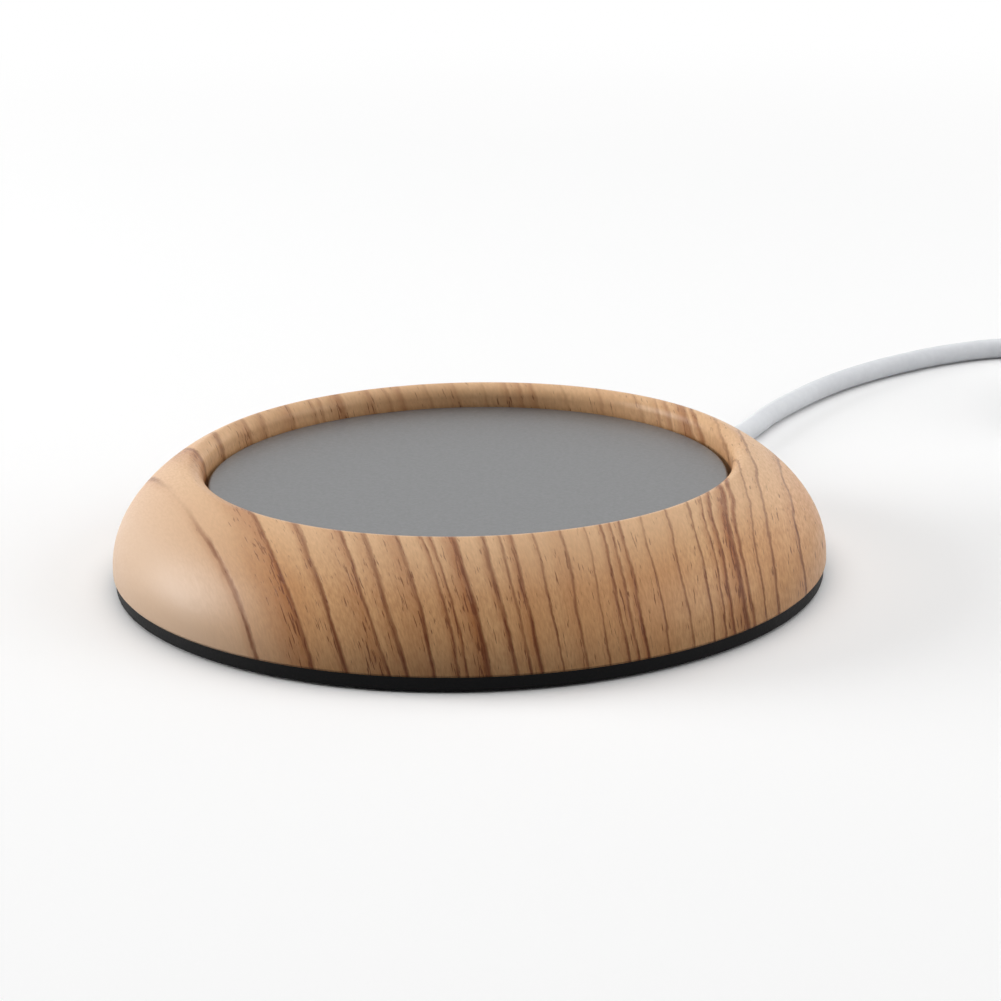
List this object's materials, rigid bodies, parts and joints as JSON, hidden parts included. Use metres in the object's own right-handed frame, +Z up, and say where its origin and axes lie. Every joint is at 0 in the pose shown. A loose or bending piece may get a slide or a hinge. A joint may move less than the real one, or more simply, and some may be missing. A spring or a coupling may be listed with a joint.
{
  "type": "electric mug warmer",
  "caption": "Low round desk mug warmer: wood-grain rim around a recessed satin metal heating plate, black base, thin white USB lead with an in-line rocker switch.",
  "frame": {"origin": "centre of the casing's footprint, on the table", "axes": "+Z up, square to the heating plate; +Y towards the side where the lead leaves the casing"},
  "size_m": [0.1808, 0.2334, 0.0187],
  "materials": {
    "wood_grain": "satin wood-grain film on a moulded rim",
    "black_plastic": "fine matt texture",
    "foot_rubber": "matt",
    "screw_steel": "zinc plated",
    "plate_aluminium": "satin anodised",
    "silicone": "matt silicone",
    "polyimide": "translucent amber film",
    "heater_foil": "etched foil",
    "insulation": "needled fibre",
    "shield_aluminium": "bright rolled sheet",
    "cutout_case": "moulded case",
    "tinned_tabs": "tinned",
    "spring_steel": "rolled strip",
    "red_wire": "PVC insulation",
    "orange_wire": "PVC insulation",
    "black_wire": "PVC insulation",
    "sleeve": "shrunk sleeve",
    "lead_pvc": "soft satin PVC",
    "tie": "woven hook-and-loop tie",
    "switch_plastic": "fine satin",
    "rocker_plastic": "smooth",
    "contact_brass": "stamped",
    "usb_steel": "nickel plated sheet",
    "usb_plastic": "moulded",
    "usb_gold": "gold flash"
  },
  "bodies": {
    "warmer": {"rim_shell": "wood_grain", "base_cover": "black_plastic", "foot_ring": "foot_rubber", "base_screws": "screw_steel", "heating_plate": "plate_aluminium", "plate_seal": "silicone", "heater_film": "polyimide", "heater_track": "heater_foil", "insulation_pad": "insulation", "heat_shield": "shield_aluminium", "shield_screws": "screw_steel", "thermal_cutout": "cutout_case", "cutout_tabs": "tinned_tabs", "cutout_clip": "spring_steel", "clip_screws": "screw_steel", "live_wire": "red_wire", "link_wire": "orange_wire", "return_wire": "black_wire", "wire_sleeves": "sleeve", "cord_clamp": "black_plastic", "clamp_screws": "screw_steel", "strain_relief": "lead_pvc", "cord_inlet": "lead_pvc", "power_cord": "lead_pvc", "cord_coil": "lead_pvc", "coil_tie": "tie", "switch_lead": "lead_pvc", "switch_lower_shell": "switch_plastic", "switch_upper_shell": "switch_plastic", "switch_contacts": "contact_brass", "switch_wires": "red_wire", "switch_screws": "screw_steel", "plug_lead": "lead_pvc", "usb_grip": "lead_pvc", "usb_shell": "usb_steel", "usb_tongue": "usb_plastic", "usb_contacts": "usb_gold"},
    "rocker": {"switch_rocker": "rocker_plastic", "switch_bridge": "contact_brass"}
  },
  "joints": [
    {"name": "rocker_tilt", "type": "hinge", "parent": "warmer", "child": "rocker", "pos_m": [0.086, 0.087, 0.0086], "axis": [1, 0, 0], "range_deg": [0, 14]}
  ]
}
